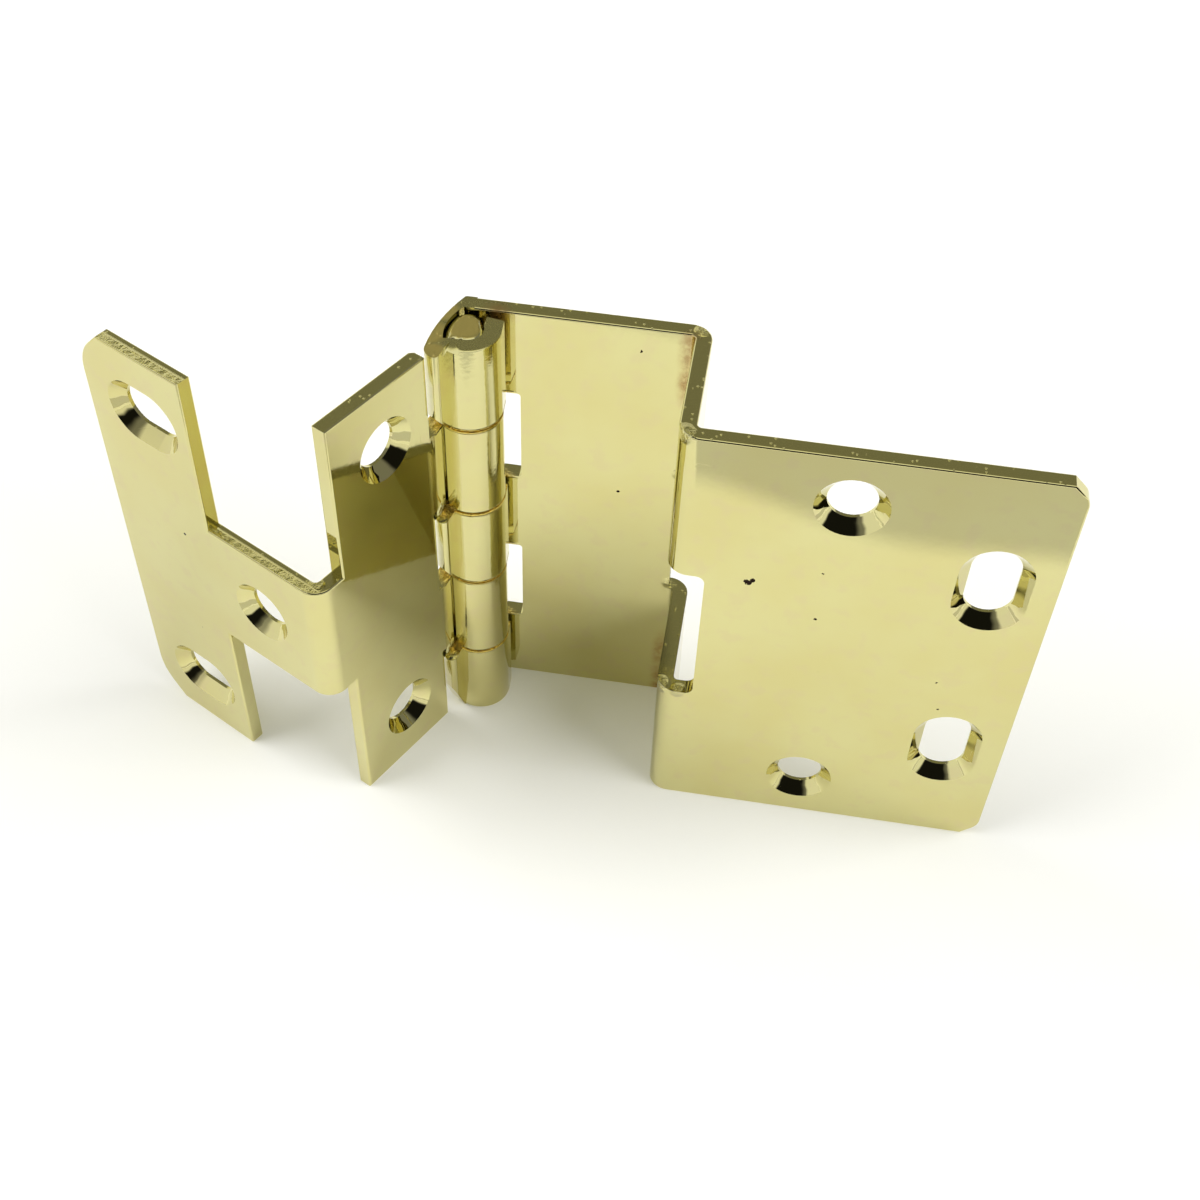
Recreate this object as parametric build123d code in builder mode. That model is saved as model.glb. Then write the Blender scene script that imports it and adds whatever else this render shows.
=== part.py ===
"""Institutional hinge: a wrap-around door wing and a T-shaped frame wing on one riveted pin.

The hinge stands on its bottom edges with the pin upright. The origin is the middle of the pair of round screw
holes in the door wing, on the face that lies against the door: X runs along the door wing, Y away from the
countersinks, Z up along the pin. The frame wing stands open. Sketches in plan count from the pin's axis.
"""

from build123d import *

import os
from math import acos, atan2, cos, hypot, radians, sin, tan

# Sheet and height
hinge_height = 69.85     # 2-3/4 in, the usual height of this type
sheet = 2.2              # both wings are folded from the same strip
bend_inner = 0.6
edge_round = 0.3         # rolled edge along the seen side of the wings
rim_round = 0.25         # rolled rim at both ends of every knuckle

# Barrel
pin_radius = 2.08
pin_fit = 0.02           # all round the pin, in the door wing's knuckles
pin_clearance = 0.07     # all round the pin, in the frame wing's knuckles
pin_recess = 0.15        # the peened ends sit below the knuckle faces
peen_length = 1.8
peen_bevel = 0.3         # each of the two bevels of a domed end
end_knuckle = 13.2       # height of knuckles 1 and 5
frame_knuckle = 14.9     # height of the two gaps that take knuckles 2 and 4
knuckle_gap = 0.12       # between neighbouring knuckles
notch_room = 1.45        # from the barrel to the far side of those gaps
notch_corner = 0.5
notch_bevel = 0.6        # at the edge of plate A beside knuckles 1, 3 and 5
tip_clearance = 0.41     # from the tip of knuckles 1, 3 and 5 to plate A as it swings past
stake_angle = 27.0       # slope of the dent beside the pin's upper end

# Frame wing: plate A at the barrel, a neck in the middle of its far edge, and a cross-bar
open_angle = 118.1       # from plate C to plate A
frame_face = -0.56       # front face of plate A, just behind the pin's axis
frame_reach = 24.8       # far edge of plate A
neck_step = 4.85         # from that edge to the front face of the neck and the cross-bar
neck_height = 20.4
neck_length = 19.85      # from the pin's axis to the near edge of the cross-bar
bar_near_wall = 2.0       # metal between that edge and the slots' countersinks
bar_far_wall = 4.05
bar_corner = 4.1         # chamfer of the outer corners
bar_corner_round = 7.0   # its outer end is rounded off

# Door wing: plate C behind the barrel, plate D towards the front, plate E to the right
door_face = 4.2          # front face of plate C, behind the pin's axis
step_slack = 0.4         # plate D's right face lies this far past the neck of the closed hinge
door_offset = 18.8       # plate E stands this far in front of plate C
door_reach = 75.9        # outer edge of plate E
door_corner = 2.2        # chamfer of its outer corners
door_corner_round = 2.6
window_back_room = 0.2   # window all through plate D: its room behind the neck of the closed hinge,
window_front_room = 3.25  # in front of it,
window_side_room = 1.55  # and above and below it
window_corner = 1.2

# Screw holes, countersunk from the front
hole_radius = 3.1
sink_radius = 4.6
sink_half_angle = 41.0
door_hole_x = 49.3       # round pair in plate E: from the axis, and from each end
door_hole_end = 7.9
door_slot_wall = 3.25     # upright slots in plate E: metal outside their countersinks
door_slot_end = 18.85
door_slot_travel = 5.0
frame_hole_u = 15.25     # round pair in plate A
neck_hole_v = 11.85      # round hole in the neck
bar_slot_travel = 3.1    # level slots in the cross-bar
frame_hole_end = 9.6     # plate A's holes and the cross-bar's slots, from each end

# Derived sizes
half = hinge_height / 2
bend_outer = bend_inner + sheet
sink_depth = (sink_radius - hole_radius) / tan(radians(sink_half_angle))
past = 2 * sheet                         # cuts run on this far past the metal
knuckle_bore = pin_radius + pin_fit
frame_bore = pin_radius + pin_clearance
barrel_radius = knuckle_bore + sheet
gap_middle = half - end_knuckle - frame_knuckle / 2
inner_level = gap_middle - frame_knuckle / 2   # ends of the middle knuckle, from mid-height
notch_reach = barrel_radius + notch_room
frame_back = frame_face - sheet
bar_face = frame_reach + neck_step
bar_back = bar_face - sheet
bar_slot_v = neck_length + bar_near_wall + sink_radius + bar_slot_travel / 2
bar_outer = bar_slot_v + bar_slot_travel / 2 + sink_radius + bar_far_wall
door_back = door_face + sheet
step_face = bar_face + step_slack
step_left = step_face - sheet
edge_back = door_back - door_offset      # plate E, back and front
edge_front = edge_back - sheet
door_slot_x = door_reach - door_slot_wall - sink_radius
window_start = bar_back - window_back_room
window_reach = bar_face + window_front_room
window_height = neck_height + 2 * window_side_room
axis = (-door_hole_x, -edge_back)        # the pin's axis in the part's frame

# Working planes in plan, both on the bottom edge with their zero at the pin's axis
turn = radians(-open_angle)
door_plane = Plane(origin=(*axis, -half), x_dir=(1, 0, 0), z_dir=(0, 0, 1))
frame_plane = Plane(origin=(*axis, -half), x_dir=(cos(turn), sin(turn), 0), z_dir=(0, 0, 1))

# Upright working planes on the plates' front faces, zero at the pin's axis and at mid-height
along_frame = Vector(cos(turn), sin(turn), 0)
out_of_frame = Vector(-sin(turn), cos(turn), 0)
foot = Vector(*axis, 0)
face_c = Plane(origin=foot + Vector(0, door_face, 0), x_dir=(1, 0, 0), z_dir=(0, -1, 0))
face_e = Plane(origin=foot + Vector(0, edge_front, 0), x_dir=(1, 0, 0), z_dir=(0, -1, 0))
face_a = Plane(origin=foot + out_of_frame * frame_face, x_dir=along_frame, z_dir=out_of_frame)
face_bar = Plane(origin=foot + along_frame * bar_face, x_dir=out_of_frame, z_dir=along_frame)


def barrel(x, y):
    """Gives a point in plan that follows the barrel's radius."""
    return x * barrel_radius, y * barrel_radius


def round_corners(sketch, places, radius):
    """Rounds the corners of a sketch that stand at the given places."""
    corners = [v for v in sketch.vertices() if any(abs(v.X - x) + abs(v.Y - y) < 1e-4 for x, y in places)]
    fillet(corners, radius)


def countersunk(plane, places, travel=0, rotation=0):
    """Cuts countersunk holes into a plate from its front face: round ones, or slots with the given travel."""
    for radius, depth, taper in ((sink_radius, sink_depth, sink_half_angle), (hole_radius, sheet, 0)):
        with BuildSketch(plane) as hole:
            with Locations(*places):
                if travel:
                    SlotCenterToCenter(travel, 2 * radius, rotation=rotation)
                else:
                    Circle(radius)
        extrude(hole.sketch, amount=-depth, taper=taper, mode=Mode.SUBTRACT)


def clipped_corners(plane, reach, size, rounding):
    """Cuts off the two corners of a plate at its outer edge and rounds the outer ends of the cuts."""
    with BuildSketch(plane) as corners:
        with Locations((reach, half), (reach, -half)):
            Rectangle(size * 2 ** 0.5, size * 2 ** 0.5, rotation=45)
    extrude(corners.sketch, amount=-sheet, mode=Mode.SUBTRACT)
    ends = []
    for edge in BuildPart._get_context().edges():
        away = plane.to_local_coords(edge.center())
        across, down = abs(away.X - reach), half - abs(away.Y)
        if abs(edge.length - sheet) < 1e-3 and across < 1e-3 and abs(down - size) < 1e-3:
            ends.append(edge)
    fillet(ends, rounding)


def rolled_rims(levels, start, arc):
    """Bevels the barrel's rims over an arc from an angle in plan. Each level says which side is metal."""
    out = Vector(cos(radians(start)), sin(radians(start)), 0)
    for level, metal in levels:
        with BuildSketch(Plane(origin=foot, x_dir=out, z_dir=out.cross(Vector(0, 0, 1)))) as rim:
            inner, outer = barrel_radius - rim_round, barrel_radius + rim_round
            low, high = level + metal * rim_round, level - metal * rim_round
            middle = rim_round * (1 - 0.5 ** 0.5)
            Polygon(
                (barrel_radius, low), (outer, low), (outer, high), (inner, high), (inner, level),
                (barrel_radius - middle, level + metal * middle), align=None,
            )
        revolve(rim.sketch, axis=Axis(foot, (0, 0, 1)), revolution_arc=arc, mode=Mode.SUBTRACT)


# Door wing
# From plate C the sheet folds sharply behind the barrel, runs down its left side to a tight tip, turns under
# the pin and ends short of plate C again.
crease = barrel(-0.4, -(1 - 0.4 ** 2) ** 0.5)
side = [(-0.35 * barrel_radius, door_back), barrel(-0.84, 0.28), barrel(-1.03, -1.0)]
tip = [barrel(-0.74, -1.42), barrel(-0.53, -1.25)]
hole_tip, hole_side, hole_end = barrel(-0.6, -0.52), barrel(-0.64, 0.15), (-0.3 * barrel_radius, door_face)
bore_start = (0.44 * barrel_radius, (knuckle_bore ** 2 - (0.44 * barrel_radius) ** 2) ** 0.5)

with BuildPart() as door_wing:
    with BuildSketch(door_plane) as plates:
        with BuildLine():
            Polyline(
                (0, door_back), (step_face, door_back), (step_face, edge_back), (door_reach, edge_back),
                (door_reach, edge_front), (step_left, edge_front), (step_left, door_face), (0, door_face),
                close=True,
            )
        make_face()
        round_corners(plates.sketch_local, [(step_face, door_back), (step_left, edge_front)], bend_outer)
        round_corners(plates.sketch_local, [(step_face, edge_back), (step_left, door_face)], bend_inner)
    extrude(amount=hinge_height)
    clipped_corners(face_e, door_reach, door_corner, door_corner_round)
    # Rolled edges all round, except where the plates run into the knuckles
    rims = [e for e in door_wing.edges() if abs(e.length - sheet) > 1e-3]
    far_end = axis[0] + door_reach - 2 * door_corner
    fillet([e for e in rims if abs(e.center().Z) > half - 1e-3 or e.center().X > far_end], edge_round)
    with BuildSketch(door_plane) as knuckle:
        with BuildLine():
            Line((0, door_back), side[0])
            left = ThreePointArc(*side)
            turned = TangentArc(side[-1], tip[0], tangent=left % 1)
            closed = TangentArc(*tip, tangent=turned % 1)
            Line(tip[1], crease)
            ThreePointArc(crease, barrel(0.6, -0.8), (barrel_radius, 0))
            Polyline((barrel_radius, 0), barrel(0.97, 0.56), barrel(0.44, 0.65), bore_start)
            ThreePointArc(bore_start, (0.8 * knuckle_bore, -0.6 * knuckle_bore), (0, -knuckle_bore))
            Line((0, -knuckle_bore), hole_tip)
            ThreePointArc(hole_tip, hole_side, hole_end)
            Polyline(hole_end, (0, door_face), (0, door_back))
        make_face()
        round_corners(knuckle.sketch_local, side[:1], 0.4)
    extrude(amount=hinge_height)
    # Gaps for knuckles 2 and 4, cut into plate C as well
    with BuildSketch(face_c):
        with Locations((notch_reach, gap_middle), (notch_reach, -gap_middle)):
            RectangleRounded(4 * notch_reach, frame_knuckle, notch_corner, align=(Align.MAX, Align.CENTER))
    extrude(amount=4 * barrel_radius, both=True, mode=Mode.SUBTRACT)
    # Window through plate D and both its bends; the neck passes through it when the hinge closes
    with BuildSketch(face_e) as window:
        with Locations((window_start, 0)):
            Rectangle(window_reach - window_start, window_height, align=(Align.MIN, Align.CENTER))
        round_corners(
            window.sketch_local, [(window_reach, window_height / 2), (window_reach, -window_height / 2)],
            window_corner,
        )
    extrude(amount=-door_offset - sheet, mode=Mode.SUBTRACT)
    countersunk(face_e, [(door_hole_x, half - door_hole_end), (door_hole_x, door_hole_end - half)])
    door_slots = [(door_slot_x, half - door_slot_end), (door_slot_x, door_slot_end - half)]
    countersunk(face_e, door_slots, door_slot_travel, 90)
    # The tip's lobe is pressed in at the ends of the knuckles
    tip_way = Vector(-0.6, -0.8, 0)
    with BuildSketch(Plane(origin=foot, x_dir=tip_way, z_dir=tip_way.cross(Vector(0, 0, 1)))):
        for level, slope in (
            (-half, 2.5), (end_knuckle - half, -0.25), (-inner_level, 1.6), (inner_level, -0.2),
            (half - end_knuckle, 1.3),
        ):
            Polygon(
                barrel(1.01, level / barrel_radius), barrel(2, level / barrel_radius),
                barrel(2, level / barrel_radius + slope), align=None,
            )
    extrude(amount=2 * barrel_radius, both=True, mode=Mode.SUBTRACT)
    door_rims = [(-half, 1), (end_knuckle - half, -1), (-inner_level, 1)]
    rolled_rims(door_rims + [(-level, -metal) for level, metal in door_rims], -112, 112)
    # Dent that locks the pin, beside the tip of its upper end
    slope = radians(stake_angle)
    dent_start = foot + Vector(*barrel(0, -0.68), half)
    with BuildSketch(Plane(origin=dent_start, x_dir=(1, 0, 0), z_dir=(0, -sin(slope), cos(slope)))):
        Polygon(
            barrel(-0.35, 0.02), barrel(-0.2, 0.02), barrel(-0.04, -0.22), barrel(-0.04, -0.6),
            barrel(-0.4, -0.6), barrel(-0.5, -0.45), barrel(-0.47, -0.22), align=None,
        )
    extrude(amount=sheet, mode=Mode.SUBTRACT)

# Frame wing
# Near the barrel plate A leans back to pass behind the pin, goes round it and ends against its own front.
frame_notch = hypot(*tip[0]) + tip_clearance            # plate A ends here beside knuckles 1, 3 and 5
lean_start = frame_notch - sheet / 3
lean_angle = atan2(frame_back, lean_start) - acos(barrel_radius / hypot(frame_back, lean_start))
behind = Vector(cos(lean_angle), sin(lean_angle))       # from the axis to where the strip meets the curl
along = Vector(-sin(lean_angle), cos(lean_angle))       # up the leaning strip, away from the barrel
inner_start = behind * (barrel_radius - sheet)
inner_end = inner_start + along * ((frame_face - inner_start.Y) / along.Y)
inner_gap = inner_start + along * 0.95 * barrel_radius
knuckle_end = frame_knuckle / 2 - knuckle_gap           # from the middle of knuckle 2 or 4 to its ends

with BuildPart() as frame_wing:
    with BuildSketch(frame_plane) as wing:
        with BuildLine():
            Polyline(
                (frame_notch, frame_face), (bar_face, frame_face), (bar_face, -bar_outer),
                (bar_back, -bar_outer), (bar_back, frame_back), (frame_notch, frame_back),
                close=True,
            )
        make_face()
        round_corners(wing.sketch_local, [(bar_face, frame_face)], bend_outer)
        round_corners(wing.sketch_local, [(bar_back, frame_back)], bend_inner)
    extrude(amount=hinge_height)
    # The neck is all that stays between plate A and the cross-bar
    for level, way in ((half - neck_height / 2, -1), (half + neck_height / 2, 1)):
        with BuildSketch(frame_plane.offset(level)) as beside_neck:
            Polygon(
                (frame_reach, past), (bar_face + past, past), (bar_face + past, -neck_length),
                (bar_back - past, -neck_length), (bar_back - past, -past), (frame_reach, -past),
                align=None,
            )
        extrude(beside_neck.sketch, amount=way * hinge_height, mode=Mode.SUBTRACT)
    clipped_corners(face_bar, -bar_outer, bar_corner, bar_corner_round)
    rims = [e for e in frame_wing.edges() if abs(e.length - sheet) > 1e-3]
    chamfer([e for e in rims if abs((e.center() - foot).dot(along_frame) - frame_notch) < 1e-3], notch_bevel)
    rims = [e for e in frame_wing.edges() if abs(e.length - sheet) > 1e-3]
    fillet(
        [
            e for e in rims
            if min(abs(abs(e.center().Z) - half), abs(abs(e.center().Z) - neck_height / 2)) < 1e-3
            or (e.center() - foot).dot(out_of_frame) < -neck_length + 1e-3
            or abs((e.center() - foot).dot(along_frame) - frame_reach) < 1e-3
        ],
        edge_round,
    )
    countersunk(face_a, [(frame_hole_u, half - frame_hole_end), (frame_hole_u, frame_hole_end - half)])
    countersunk(face_bar, [(-neck_hole_v, 0)])
    bar_slots = [(-bar_slot_v, half - frame_hole_end), (-bar_slot_v, frame_hole_end - half)]
    countersunk(face_bar, bar_slots, bar_slot_travel)
    for level in (half - gap_middle, half + gap_middle):
        with BuildSketch(frame_plane.offset(level)) as curl:
            Circle(barrel_radius)
            Polygon(
                (inner_start.X, inner_start.Y), barrel(0.44, -0.07),
                (inner_gap.X, inner_gap.Y + knuckle_gap), (inner_gap.X, inner_gap.Y),
                align=None, mode=Mode.SUBTRACT,
            )
            Polygon(
                (behind.X * barrel_radius, behind.Y * barrel_radius), (lean_start, frame_back),
                (frame_notch + sheet / 2, frame_back), (frame_notch + sheet / 2, frame_face),
                (inner_end.X, inner_end.Y), (inner_start.X, inner_start.Y),
                align=None,
            )
            Circle(frame_bore, mode=Mode.SUBTRACT)
        extrude(curl.sketch, amount=knuckle_end, both=True)
    frame_rims = [(gap_middle - knuckle_end, 1), (gap_middle + knuckle_end, -1)]
    rolled_rims(frame_rims + [(-level, -metal) for level, metal in frame_rims], -150, 150)

# Pin
# Its ends are peened out into the knuckles' drop-shaped holes and domed by two bevels.
drop = [
    (0.95, 0.02), (0.67, -0.68), (0, -0.93), (-0.55, -0.97), (-1.05, -0.98), (-1.22, -0.55), (-1.24, 0.3),
    (-1.08, 1.05), (-0.78, 1.58), (-0.35, 1.8), (0.15, 1.7), (0.58, 1.3), (0.8, 0.72),
]
with BuildPart() as hinge_pin:
    with BuildSketch(door_plane.offset(pin_recess + 2 * peen_bevel)):
        Circle(pin_radius)
    extrude(amount=hinge_height - 2 * pin_recess - 4 * peen_bevel)
    for inner, way in ((pin_recess + peen_length, -1), (hinge_height - pin_recess - peen_length, 1)):
        rim = inner + way * (peen_length - 2 * peen_bevel)
        dome = rim + way * peen_bevel
        top = dome + way * peen_bevel
        for low, high in (((inner, 1), (rim, 1)), ((rim, 1), (dome, 0.9)), ((dome, 0.9), (top, 0.68))):
            for level, share in (low, high):
                reach = share * pin_radius
                with BuildSketch(door_plane.offset(level)):
                    with BuildLine():
                        Spline(*[(reach * x, reach * y) for x, y in drop], periodic=True)
                    make_face()
            loft()

os.makedirs("parts", exist_ok=True)
door_wing.part.label = "door_wing"
frame_wing.part.label = "frame_wing"
hinge_pin.part.label = "hinge_pin"
export_step(door_wing.part, "parts/door_wing.step")
export_step(frame_wing.part, "parts/frame_wing.step")
export_step(hinge_pin.part, "parts/hinge_pin.step")
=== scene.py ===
# %% [markdown]
# # A wrap-around cabinet hinge in bright brass plate
#
# The real object is three pieces of steel with a mirror-bright brass plating: a stepped door
# wing, a T-shaped frame wing and the pin that joins them. Their shapes are exact already, so
# this lesson is about the finish. A mirror has hardly any colour of its own: it shows what
# stands around it. So the studio matters as much as the metal, and both are built here.

# %% Load the hinge
import math

import bpy
from mathutils import Matrix, Vector


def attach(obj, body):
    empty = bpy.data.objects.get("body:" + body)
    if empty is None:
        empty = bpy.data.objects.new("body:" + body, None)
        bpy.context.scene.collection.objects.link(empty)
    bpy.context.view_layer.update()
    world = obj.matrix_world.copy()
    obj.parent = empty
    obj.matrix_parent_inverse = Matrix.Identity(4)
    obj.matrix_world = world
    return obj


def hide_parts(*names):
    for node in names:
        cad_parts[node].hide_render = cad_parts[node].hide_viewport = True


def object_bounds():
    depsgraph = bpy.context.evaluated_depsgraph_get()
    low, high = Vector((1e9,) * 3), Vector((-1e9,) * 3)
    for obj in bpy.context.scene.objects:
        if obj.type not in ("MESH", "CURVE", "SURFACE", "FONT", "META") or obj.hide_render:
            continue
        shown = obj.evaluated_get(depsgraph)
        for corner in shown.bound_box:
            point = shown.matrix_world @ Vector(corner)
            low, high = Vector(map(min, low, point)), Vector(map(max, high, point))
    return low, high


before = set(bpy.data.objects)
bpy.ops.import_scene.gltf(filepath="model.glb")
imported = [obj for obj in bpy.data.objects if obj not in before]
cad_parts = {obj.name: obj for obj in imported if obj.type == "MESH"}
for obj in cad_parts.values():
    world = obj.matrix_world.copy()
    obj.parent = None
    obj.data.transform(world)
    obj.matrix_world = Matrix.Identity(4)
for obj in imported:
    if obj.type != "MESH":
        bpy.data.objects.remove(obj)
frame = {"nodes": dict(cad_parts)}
cad_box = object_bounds()

MM = 0.001                                  # lengths below are written in millimetres
PIN_PLACE = (-49.3, 12.4, 0)                # the pin stands here
ALONG_FRAME = Vector((-0.471, -0.882, 0))   # from the pin along plate A of the frame wing
OUT_OF_FRAME = Vector((0.882, -0.471, 0))   # the way that plate A faces
FLOOR = cad_box[0].z                        # the hinge stands on its lower edges
print("nodes:", ", ".join(frame["nodes"]), "| floor at", round(FLOOR / MM, 2), "mm")

# %% [markdown]
# ## Round things that look round
#
# The exact solids arrive as loose flat triangles, and a mirror shows every one of them: a
# countersink would look like a cut gem. So each piece is modelled again on a copy. Its
# doubled corners are merged, and faces that meet at less than 40 degrees are shaded as one
# smooth surface. Plain smooth shading would also tilt the light on the large plates near
# their rolled edges. So the direction at each corner is an average in which a flat region
# counts with its whole area, squared: plates stay truly flat, and the even strips of a
# barrel or a countersink blend.

# %% Directions at the corners
SMOOTH_ANGLE = math.radians(40)


def settle_normals(mesh):
    """Gives each corner of each face a direction: flat regions keep theirs, curved ones blend."""
    regions, area = [], {}
    for face in mesh.polygons:
        distance = round(face.normal.dot(face.center) / MM, 1)
        key = tuple(round(v, 2) for v in face.normal) + (distance,)
        regions.append(key)
        area[key] = area.get(key, 0) + face.area / MM ** 2
    around = [[] for _ in mesh.vertices]
    for face in mesh.polygons:
        for corner in face.vertices:
            around[corner].append(face.index)
    limit = math.cos(SMOOTH_ANGLE)
    normals = []
    for face in mesh.polygons:
        for corner in face.vertices:
            total = Vector()
            for other in around[corner]:
                if face.normal.dot(mesh.polygons[other].normal) > limit:
                    total += mesh.polygons[other].normal * area[regions[other]] ** 2
            normals.append(total.normalized())
    mesh.normals_split_custom_set(normals)
    print("largest flat region:", round(max(area.values())), "square millimetres")


# %% [markdown]
# Plate A of the frame wing ends beside the barrel in a sheared edge whose corner is only
# just rounded. The exact solid has a wider bevel there, and daylight would show between it
# and the barrel. The copy gets the narrow bevel: the two rows of corners along it move
# towards the sharp corner that they cut off, and so stay inside the wing's box.

# %% The narrow bevel
BEVEL_CORNER = (7.295, -0.56)   # the corner that the bevel cuts off: along plate A, out of it
BEVEL, NARROW_BEVEL = 0.6, 0.12
CLOSE = 0.02


def narrow_bevel(mesh):
    """Draws the bevel beside the knuckles in to its real width."""
    moved = 0
    for corner in mesh.vertices:
        arm = corner.co / MM - Vector((PIN_PLACE[0], PIN_PLACE[1], corner.co.z / MM))
        along = arm.dot(ALONG_FRAME) - BEVEL_CORNER[0]
        out = arm.dot(OUT_OF_FRAME) - BEVEL_CORNER[1]
        if abs(along - BEVEL) < CLOSE and abs(out) < CLOSE:
            corner.co += ALONG_FRAME * (NARROW_BEVEL - BEVEL) * MM
            moved += 1
        elif abs(along) < CLOSE and abs(out + BEVEL) < CLOSE:
            corner.co += OUT_OF_FRAME * (BEVEL - NARROW_BEVEL) * MM
            moved += 1
    print("corners moved along the bevel:", moved)


# %% Smooth copies of the three pieces
def smooth_copy(node, name, body, adjust=None):
    """Makes a merged, smoothly shaded copy of a node that stands for it."""
    piece = frame["nodes"][node].copy()
    piece.data = piece.data.copy()
    piece.name = piece.data.name = name
    bpy.context.scene.collection.objects.link(piece)
    bpy.ops.object.select_all(action="DESELECT")
    piece.select_set(True)
    bpy.context.view_layer.objects.active = piece
    bpy.ops.object.mode_set(mode="EDIT")
    bpy.ops.mesh.select_all(action="SELECT")
    bpy.ops.mesh.remove_doubles(threshold=0.002 * MM)
    bpy.ops.object.mode_set(mode="OBJECT")
    if adjust:
        adjust(piece.data)
    bpy.ops.object.shade_smooth_by_angle(angle=SMOOTH_ANGLE)
    settle_normals(piece.data)
    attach(piece, body)
    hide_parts(node)
    print(name, "has", len(piece.data.vertices), "corners and", len(piece.data.polygons), "faces")
    return piece


door_leaf = smooth_copy("door_wing", "door_leaf", "door_side")
frame_leaf = smooth_copy("frame_wing", "frame_leaf", "frame_side", narrow_bevel)
riveted_pin = smooth_copy("hinge_pin", "riveted_pin", "door_side")

# %% [markdown]
# ## A few helpers for material nodes
#
# A procedural material is a small graph of nodes. Typing every link by hand gets long, so
# one helper adds a node and plugs in its inputs: a plain value goes into the socket, and
# another node's output becomes a link. The graph then reads like a formula.

# %% Node helpers
class Graph:
    """Adds nodes to a material or a world and links them."""

    def __init__(self, owner):
        owner.use_nodes = True
        self.tree = owner.node_tree
        self.tree.nodes.clear()

    def add(self, kind, inputs=None, **settings):
        """Adds one node. Inputs go by socket name or number, as values or as other sockets."""
        made = self.tree.nodes.new("ShaderNode" + kind)
        for name, value in settings.items():
            setattr(made, name, value)
        for name, value in (inputs or {}).items():
            socket = made.inputs[name]
            if isinstance(value, bpy.types.NodeSocket):
                self.tree.links.new(value, socket)
            else:
                socket.default_value = value
        return made

    def math(self, operation, *values):
        return self.add("Math", dict(enumerate(values)), operation=operation).outputs[0]

    def vector_math(self, operation, *values):
        made = self.add("VectorMath", dict(enumerate(values)), operation=operation)
        return made.outputs["Value" if operation in ("LENGTH", "DOT_PRODUCT") else "Vector"]

    def split(self, vector):
        """The three parts of a vector or colour."""
        return self.add("SeparateXYZ", {0: vector}).outputs

    def ramp(self, value, low, high, start=0.0, end=1.0):
        """Smoothly turns a value between low and high into one between start and end."""
        inputs = {"Value": value, "From Min": low, "From Max": high, "To Min": start, "To Max": end}
        return self.add("MapRange", inputs, interpolation_type="SMOOTHSTEP").outputs[0]

    def mix(self, share, first, second):
        inputs = {"Factor": share, 6: first, 7: second}
        return self.add("Mix", inputs, data_type="RGBA").outputs[2]

    def noise(self, place, scale, detail=2.0, roughness=0.5):
        inputs = {"Vector": place, "Scale": scale, "Detail": detail, "Roughness": roughness}
        return self.add("TexNoise", inputs).outputs[0]

    def near(self, place, spot, radius, core=0.2, upright=1.0):
        """One at a spot given in millimetres, nothing at its radius. It may reach higher."""
        away = self.vector_math("SUBTRACT", place, tuple(v * MM for v in spot))
        away = self.vector_math("MULTIPLY", away, (1, 1, 1 / upright))
        away = self.vector_math("LENGTH", away)
        return self.ramp(away, radius * MM, core * radius * MM)

    def between(self, value, target, far, close):
        """One where a value is within close of its target, nothing at far. In millimetres."""
        away = self.math("ABSOLUTE", self.math("SUBTRACT", value, target * MM))
        return self.ramp(away, far * MM, close * MM)

    def any_of(self, masks):
        """The strongest of some masks, or nothing where there are none."""
        total = 0.0
        for mask in masks:
            total = self.math("MAXIMUM", total, mask)
        return total


# %% [markdown]
# ## The plating
#
# Bright brass plate over polished steel is close to a perfect mirror, tinted pale gold.
# Three things give it away as real metal. The mirror is never quite flat, so a weak bump
# with features of a millimetre or two bends the reflections. The plating has specks:
# pinholes where it didn't take. And it has hair scratches from handling. All patterns read
# Object coordinates, so they stay with each wing as it swings.
#
# The edges are different. The blank was sheared from strip, and the plating lies over torn
# metal there: fine grain with a few bright specks, and crumpled where the strip was bent.
# The knuckles were rolled over a mandrel, which leaves them less bright, finely wrinkled and
# torn at their rims; the deep gold laid on those rims is a painted reflection of the knuckle
# beside them. Edges that face up or down are told apart by the surface's own normal, and the
# other places are listed.

# %% Colours of the metal
def screen(red, green, blue):
    """A colour given as screen values from 0 to 255, made linear as the shader wants it."""
    linear = [((v / 255 + 0.055) / 1.055) ** 2.4 for v in (red, green, blue)]
    return tuple(linear) + (1,)


PALE_GOLD = screen(219, 213, 153)
WARM_GOLD = screen(216, 207, 143)
PINK_GOLD = screen(215, 200, 154)
EDGE_GOLD = screen(211, 202, 122)
BRUSHED_GOLD = screen(232, 212, 118)
# Painted reflection: the deep gold that a knuckle rim shows of the knuckle beside it
RIM_GOLD_PAINTED_REFLECTION = screen(240, 208, 88)
DARK_OLIVE_GOLD = screen(124, 117, 58)
TARNISH = screen(168, 108, 56)
PIT = screen(38, 26, 20)
print("pale gold:", [round(v, 3) for v in PALE_GOLD])


# %% [markdown]
# Each way in which the surface differs becomes a mask, a value from nothing to one. Colour,
# roughness and relief then all read the same masks, so a stain is dull as well as brown.

# %% Masks for pits
def find_pits(g, place, spots):
    """Rare pinholes all over, and the larger pits at known spots, with ragged outlines."""
    cells = g.add("TexVoronoi", {"Vector": place, "Scale": 330, "Randomness": 1.0})
    chance, size, _ = g.split(cells.outputs["Color"])
    hole = g.math("LESS_THAN", cells.outputs["Distance"], g.math("MULTIPLY", size, 0.04))
    pinholes = g.math("MULTIPLY", g.math("GREATER_THAN", chance, 0.9), hole)
    wobble = g.math("SUBTRACT", g.noise(place, 3000, 2), 0.5)
    shaken = g.vector_math("ADD", place, g.math("MULTIPLY", wobble, 0.5 * MM))
    pits = [
        g.math("GREATER_THAN", g.near(shaken, spot, radius, 0.5), 0.2) for spot, radius in spots
    ]
    return g.any_of([pinholes] + pits)


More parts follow.
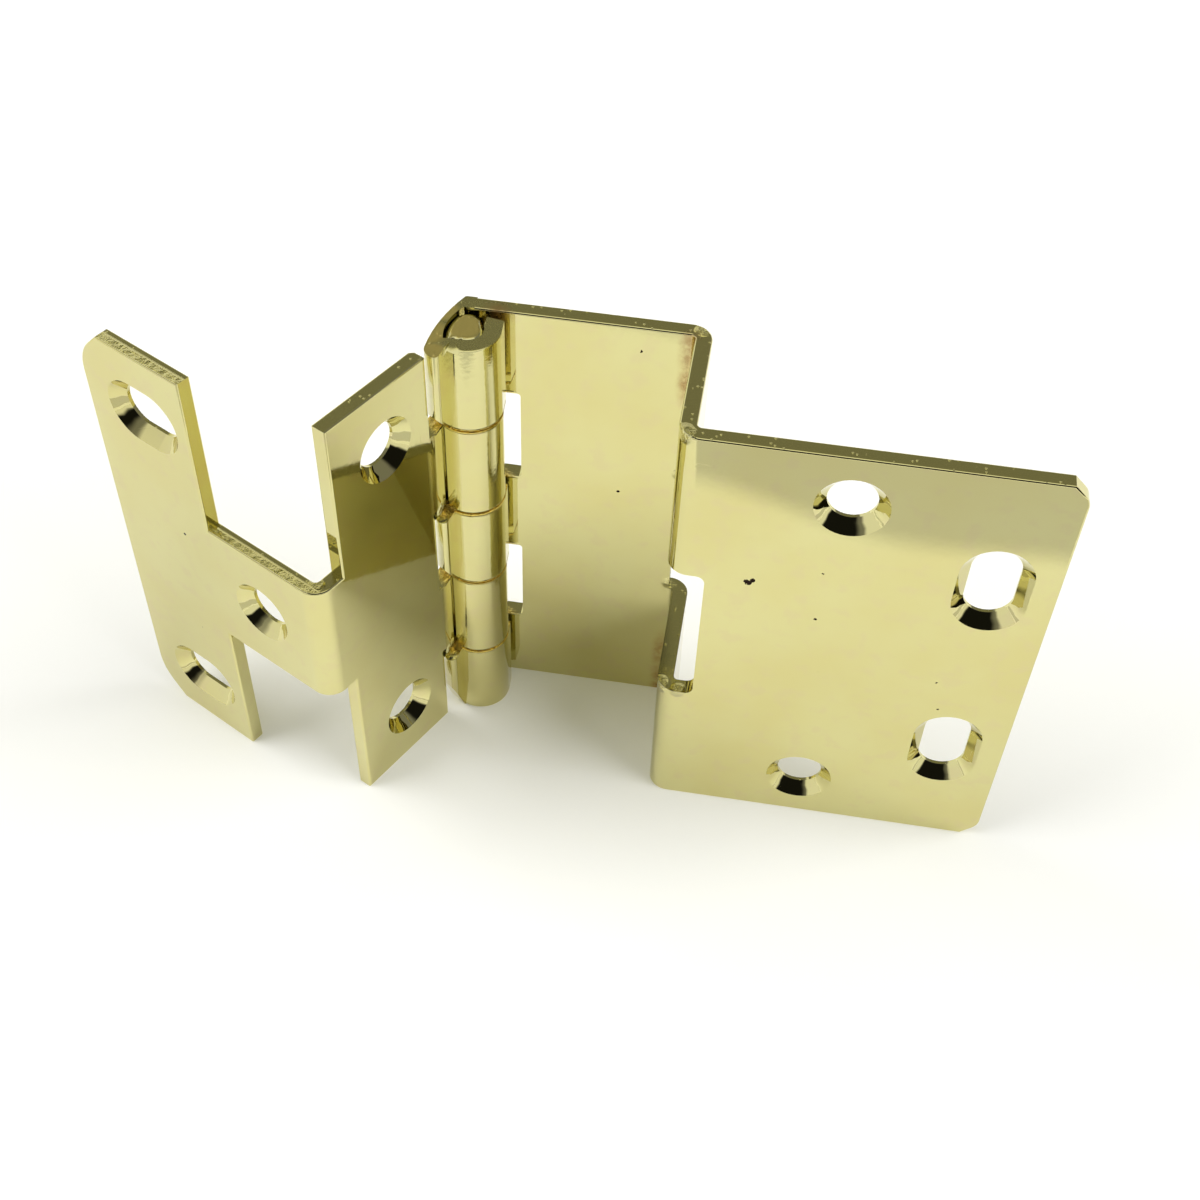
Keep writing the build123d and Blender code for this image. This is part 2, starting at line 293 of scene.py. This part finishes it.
# %% Masks for everything
def find_masks(g, place, normal, flaws):
    """Says where the plating isn't a plain mirror."""
    height = g.split(place)[2]
    cloud = g.noise(place, 700, 4, 0.65)
    edge = g.ramp(g.math("ABSOLUTE", g.split(normal)[2]), 0.90, 0.985)
    # Faces listed in dull_faces are made rougher and coloured a dark olive
    dull = g.any_of([
        g.math(
            "MULTIPLY", g.ramp(g.vector_math("DOT_PRODUCT", normal, direction), 0.75, 0.9),
            g.between(g.vector_math("DOT_PRODUCT", place, direction), distance, 0.2, 0.1),
        )
        for direction, distance in flaws.get("dull_faces", ())
    ])
    # The barrel is what lies close to the pin in plan
    rolled = g.near(g.vector_math("MULTIPLY", place, (1, 1, 0)), PIN_PLACE, 7.0, 0.75)
    # The knuckle rims: crumpled in relief, and tinted with a painted reflection of the next knuckle
    rim = g.any_of([g.between(height, level, 0.45, 0.2) for level in flaws.get("rims", ())])
    rim = g.math("MULTIPLY", rim, rolled)
    worn = g.any_of([
        g.near(place, spot, radius, 0.6) for spot, radius in flaws.get("brushed", ())
    ])
    crumpled = [rim]
    crumpled += [g.near(place, spot, radius, 0.5) for spot, radius in flaws.get("crumples", ())]
    for direction, start, end in flaws.get("torn", ()):
        far = g.vector_math("DOT_PRODUCT", place, direction)
        strip = g.math(
            "MULTIPLY", g.ramp(far, (start - 0.15) * MM, (start + 0.15) * MM),
            g.ramp(far, (end + 0.1) * MM, (end - 0.1) * MM),
        )
        # Twice as deep as a crumple
        crumpled.append(g.math("MULTIPLY", g.math("MULTIPLY", edge, strip), 2.0))
    stain = g.any_of([
        g.near(place, spot, radius, 0.1, 3.5) for spot, radius in flaws.get("stains", ())
    ])
    return {
        "cloud": cloud,
        "edge": edge,
        "dull": dull,
        "grainy": g.math("MAXIMUM", edge, dull),
        "rolled": rolled,
        "rim": rim,
        "worn": g.math("MULTIPLY", edge, worn),
        "crumpled": g.any_of(crumpled),
        "stain": g.math("MULTIPLY", stain, g.ramp(cloud, 0.25, 0.65, 0.25, 1)),
        "pit": find_pits(g, place, flaws.get("pits", ())),
    }


# %% Colour
# The rim layer is a painted reflection of the knuckle beside each rim
LAYERS_OF_COLOUR = (
    ("edge", 1.0, EDGE_GOLD), ("rim", 0.75, RIM_GOLD_PAINTED_REFLECTION), ("worn", 1.0, BRUSHED_GOLD),
    ("dull", 1.0, DARK_OLIVE_GOLD), ("stain", 0.6, TARNISH), ("pit", 1.0, PIT),
)


def metal_colour(g, place, masks):
    """A faint drift of tone, and what the masks lay over it."""
    colour = g.mix(g.ramp(g.noise(place, 60, 3), 0.3, 0.75), PALE_GOLD, WARM_GOLD)
    blotches = g.ramp(g.noise(place, 380, 3), 0.5, 0.7, 0, 0.35)
    colour = g.mix(blotches, colour, PINK_GOLD)
    for mask, share, gold in LAYERS_OF_COLOUR:
        colour = g.mix(g.math("MULTIPLY", masks[mask], share), colour, gold)
    return colour


# %% Roughness
def metal_roughness(g, masks, grain):
    """An uneven mirror with grainy edges, duller pits, stains, brushed places and barrel."""
    rough = g.ramp(masks["cloud"], 0.3, 0.8, 0.03, 0.06)
    for mask, amount in (
        (masks["grainy"], g.ramp(grain, 0.3, 0.8, 0.13, 0.2)),
        (g.math("MAXIMUM", masks["pit"], masks["stain"]), 0.25),
        (masks["worn"], 0.2),
        (masks["rolled"], 0.06),
    ):
        rough = g.math("ADD", rough, g.math("MULTIPLY", mask, amount))
    # Torn metal glitters
    rough = g.math("MULTIPLY", rough, g.ramp(masks["crumpled"], 0, 1.5, 1, 0.3))
    return g.math("MINIMUM", rough, 0.8)


# %% Relief
def metal_relief(g, place, masks, grain):
    """Bends the surface: slow waves everywhere, and finer patterns on top of them."""
    waves = {"Height": g.noise(place, 420, 2), "Distance": 0.0025 * MM, "Strength": 1.0}
    cells = g.add("TexVoronoi", {"Vector": place, "Scale": 1900, "Randomness": 1.0})
    lone = g.math("GREATER_THAN", g.split(cells.outputs["Color"])[0], 0.88)
    speck = g.math("MULTIPLY", lone, g.ramp(cells.outputs["Distance"], 0.42, 0.0))
    turned = {"Vector": place, "Rotation": (0.5, 0.9, 0.35), "Scale": (60, 2400, 300)}
    hair = g.ramp(g.noise(g.add("Mapping", turned).outputs[0], 1.0, 2), 0.74, 0.765)
    height = 0.0
    for mask, pattern, millimetres in (
        (masks["grainy"], grain, 0.007),
        (masks["grainy"], speck, 0.11),
        (masks["rolled"], g.noise(place, 1500, 3), 0.011),
        (masks["worn"], g.noise(place, 1900, 3), 0.05),
        (masks["crumpled"], g.noise(place, 1100, 3, 0.6), 0.6),
        (hair, 1.0, -0.0012),
        (masks["pit"], 1.0, -0.02),
    ):
        layer = g.math("MULTIPLY", g.math("MULTIPLY", mask, pattern), millimetres * MM)
        height = g.math("ADD", height, layer)
    fine = {"Height": height, "Distance": 1.0, "Strength": 1.0}
    fine["Normal"] = g.add("Bump", waves).outputs[0]
    return g.add("Bump", fine).outputs[0]


# %% The plating material
def plated_brass(name, **flaws):
    """Bright plating with its flaws.

    pits, stains, crumples and brushed hold (place, radius), torn holds (direction, start, end)
    of a strip on the edges, dull_faces holds (direction, distance), and rims holds heights on
    the barrel. All are in millimetres.
    """
    material = bpy.data.materials.new(name)
    g = Graph(material)
    coords = g.add("TexCoord").outputs
    place = coords["Object"]
    masks = find_masks(g, place, coords["Normal"], flaws)
    grain = g.noise(place, 5200, 3, 0.6)
    shader = g.add("BsdfPrincipled", {
        "Base Color": metal_colour(g, place, masks),
        "Metallic": 1.0,
        "Roughness": metal_roughness(g, masks, grain),
        "Normal": metal_relief(g, place, masks, grain),
    })
    g.add("OutputMaterial", {"Surface": shader.outputs[0]})
    print(name, "has", len(g.tree.nodes), "nodes")
    return material


# %% Where the flaws are
DOOR_PITS = [
    ((-10.9, -2.2, 11.9), 0.5), ((-10.4, -2.2, 12.4), 0.4), ((-11.2, -2.2, 12.2), 0.35),
    ((-1.8, -2.2, 6.8), 0.26), ((-1.9, -2.2, 15.3), 0.2), ((16.3, -2.2, -7.8), 0.18),
    ((15.2, -2.2, -2.4), 0.16), ((-28.0, 16.6, 31.3), 0.22), ((-30.1, 16.6, 6.4), 0.24),
]
DOOR_STAINS = [
    ((-21.9, 16.4, 32.5), 2.0), ((-22.2, 16.6, 27.0), 1.5), ((-22.5, 16.6, -26.0), 1.7),
    ((-22.4, 16.6, -33.0), 1.9), ((-46.5, 16.6, 34.2), 2.6),
]
DOOR_CRUMPLES = [
    ((-20.6, -1.2, 34.9), 1.7), ((-20.6, 17.6, 34.9), 1.3), ((-21.0, -0.9, -11.9), 1.6),
    ((-18.4, -1.6, -11.9), 1.2), ((-22.0, 17.6, 11.0), 1.5), ((-22.0, 17.6, -10.6), 1.6),
    ((-52.7, 7.9, 6.5), 1.7), ((-52.7, 7.9, -22.1), 1.7), ((-52.9, 8.2, -6.3), 1.3),
    ((-52.9, 8.2, 22.2), 1.3),
]
DOOR_BRUSHED = [((-54.0, 11.0, 34.9), 3.0), ((-53.2, 15.5, 34.9), 2.6), ((-52.6, 7.2, 34.9), 2.2)]
FRAME_CRUMPLES = [
    ((-64.5, -10.8, 10.2), 1.2), ((-52.7, 7.9, 7.6), 1.5), ((-52.7, 7.9, -21.0), 1.5),
]
KNUCKLE_ENDS = (21.7, 6.8, -6.8, -21.7)     # heights of the gaps between the knuckles

# %% The three finishes
finishes = {
    door_leaf: plated_brass(
        "door_plating", pits=DOOR_PITS, stains=DOOR_STAINS, crumples=DOOR_CRUMPLES,
        dull_faces=[((1, 0, 0), -22.05)], brushed=DOOR_BRUSHED, rims=KNUCKLE_ENDS,
    ),
    frame_leaf: plated_brass(
        "frame_plating", pits=[((-85.2, -2.1, 6.6), 0.25), ((-85.9, -1.6, -12.8), 0.14)],
        crumples=FRAME_CRUMPLES, torn=[(ALONG_FRAME, 40.6, 41.9)], rims=KNUCKLE_ENDS,
    ),
    riveted_pin: plated_brass("pin_plating", brushed=[((-49.8, 13.0, 34.8), 3.0)]),
}
for piece, material in finishes.items():
    piece.data.materials.clear()
    piece.data.materials.append(material)
    print(piece.name, "is finished in", material.name)

# %% [markdown]
# ## The studio
#
# Photographs of polished metal are made with a white sweep below, soft light above and
# darkness elsewhere. The faces then mirror the white sweep, the rolled edges catch the light
# above as thin bright lines, and the countersinks turn black where they look back at the
# camera.
#
# The sweep in such a picture is just over full white, so only the deepest shadow shows on
# it. Its material adds a little light of its own for the camera and for reflections, and
# keeps the shadow of the hinge. That light has less blue, as the brass would give it: it
# can't be told on the white, and it warms the shadow.

# %% Floor
EXTRA_FOR_CAMERA, EXTRA_FOR_METAL = 0.12, 0.08

bpy.ops.mesh.primitive_plane_add(size=6, location=(0, 0, FLOOR))
floor = bpy.context.object
floor.name = "floor"
white = bpy.data.materials.new("white_sweep")
g = Graph(white)
rays = g.add("LightPath").outputs
extra = g.math(
    "ADD", g.math("MULTIPLY", rays["Is Camera Ray"], EXTRA_FOR_CAMERA),
    g.math("MULTIPLY", rays["Is Glossy Ray"], EXTRA_FOR_METAL),
)
matt = g.add("BsdfDiffuse", {"Color": (0.9, 0.9, 0.9, 1)})
lift = g.add("Emission", {"Color": (1, 0.98, 0.5, 1), "Strength": extra})
both = g.add("AddShader", {0: matt.outputs[0], 1: lift.outputs[0]})
g.add("OutputMaterial", {"Surface": both.outputs[0]})
floor.data.materials.append(white)
print("the floor is", floor.dimensions.x, "metres wide")

# %% [markdown]
# A grey card lies in front, where the sweep of the real studio ended. The camera doesn't see
# it, but the faces do: the top of plate E mirrors it. Its far edge is soft and bulges a
# little in the middle, as the border that it leaves on the plate does.

# %% Grey card
CARD_WIDTH, CARD_DEPTH = 1.2, 0.3
CARD_EDGE = (-0.002, -0.0545, FLOOR + 0.0005)   # the middle of its far edge, in metres
BULGE_MIDDLE, BULGE_REACH, BULGE = 0.011, 0.03, 0.016   # shares of the card's width and depth

bpy.ops.mesh.primitive_plane_add(size=1)
card = bpy.context.object
card.name = "grey_card"
card.matrix_world = (
    Matrix.Translation(CARD_EDGE) @ Matrix.Rotation(math.radians(7), 4, "Z")
    @ Matrix.Translation((0, -CARD_DEPTH / 2, 0)) @ Matrix.Diagonal((CARD_WIDTH, CARD_DEPTH, 1, 1))
)
card.visible_camera = card.visible_shadow = card.visible_diffuse = False
grey = bpy.data.materials.new("grey_card")
g = Graph(grey)
across, ahead, _ = g.split(g.add("TexCoord").outputs["Object"])
from_middle = g.math("ABSOLUTE", g.math("SUBTRACT", across, BULGE_MIDDLE))
bulge = g.ramp(from_middle, BULGE_REACH, 0.0, 0.0, BULGE)
share = g.ramp(g.math("SUBTRACT", ahead, bulge), 0.474, 0.45)
clear = g.add("BsdfTransparent")
glow = g.add("Emission", {"Color": (0.72, 0.72, 0.72, 1), "Strength": 1.0})
shown = g.add("MixShader", {0: share, 1: clear.outputs[0], 2: glow.outputs[0]})
g.add("OutputMaterial", {"Surface": shown.outputs[0]})
card.data.materials.append(grey)

# %% [markdown]
# The sky is drawn for the metal: a pale wall low down and higher on the left, dark above it,
# black round the camera and white overhead. The floor gets plain weak light from it, and the
# camera sees plain white.

# %% Sky
SKY_PALE, SKY_DARK, SKY_FOR_FLOOR = 0.95, 0.22, 0.27

world = bpy.data.worlds.new("studio")
bpy.context.scene.world = world
g = Graph(world)
sideways, towards, height = g.split(g.add("TexCoord").outputs["Generated"])
wall_top = g.ramp(sideways, -0.2, -0.5, 0.18, 0.54)
level = g.ramp(g.math("SUBTRACT", height, wall_top), -0.06, 0.08, SKY_PALE, SKY_DARK)
black = g.math("MULTIPLY", g.ramp(towards, -0.1, -0.35), g.ramp(height, 0.12, 0.24))
black = g.math("MULTIPLY", black, g.ramp(sideways, -0.5, -0.2))
black = g.math("MULTIPLY", black, 0.96)
level = g.math("MULTIPLY", level, g.math("SUBTRACT", 1.0, black))
level = g.math("MAXIMUM", level, g.ramp(height, 0.90, 0.95))
rays = g.add("LightPath").outputs
level = g.math(
    "ADD", g.math("MULTIPLY", level, rays["Is Glossy Ray"]),
    g.math("MULTIPLY", SKY_FOR_FLOOR, g.math("SUBTRACT", 1.0, rays["Is Glossy Ray"])),
)
level = g.math("MAXIMUM", level, rays["Is Camera Ray"])
sky = g.add("Background", {"Color": (1, 1, 1, 1), "Strength": level})
g.add("OutputWorld", {"Surface": sky.outputs[0]})
print("the sky has", len(g.tree.nodes), "nodes")

# %% [markdown]
# ## Light and camera
#
# Two sun lamps with wide discs stand for the softboxes at both sides. Their light is as
# strong everywhere on the sweep and their shadows are soft, and they leave the floor between
# the open wings darker than the floor in front. The metal doesn't mirror them, because the
# sky above already is what it mirrors.

# %% Lamps
LAMP_POWER = 2.6
LAMP_DISC = math.radians(60)

for side, name in ((-1, "left_light"), (1, "right_light")):
    bpy.ops.object.light_add(type="SUN", location=(0.4 * side, 0.05, 0.4))
    lamp = bpy.context.object
    lamp.name = name
    lamp.data.energy = LAMP_POWER
    lamp.data.angle = LAMP_DISC
    towards_lamp = Vector((0.85 * side, -0.08, 0.52))
    lamp.rotation_euler = towards_lamp.to_track_quat("Z", "Y").to_euler()
    lamp.visible_glossy = False
    print(name, "shines from", [round(v, 2) for v in towards_lamp])

# %% [markdown]
# The camera stands in front and well above, with the lens and the slight roll that bring
# every corner of the hinge to its place.

# %% Camera
CAMERA_PLACE = (-0.011804, -0.143091, 0.163297)
CAMERA_RIGHT = Vector((0.98741931, 0.15570206, 0.02756766))
CAMERA_UP = Vector((-0.13419426, 0.7329411, 0.66692521))

camera_data = bpy.data.cameras.new("camera")
camera_data.sensor_width = 36
camera_data.lens = 49.13
camera_data.clip_start = 0.005
camera = bpy.data.objects.new("camera", camera_data)
bpy.context.scene.collection.objects.link(camera)
turn = Matrix((CAMERA_RIGHT, CAMERA_UP, CAMERA_RIGHT.cross(CAMERA_UP))).transposed()
camera.matrix_world = Matrix.Translation(CAMERA_PLACE) @ turn.to_4x4()
bpy.context.scene.camera = camera
bpy.context.scene.view_settings.view_transform = "Standard"
print("the camera is", round(Vector(CAMERA_PLACE).length, 3), "metres from the origin")
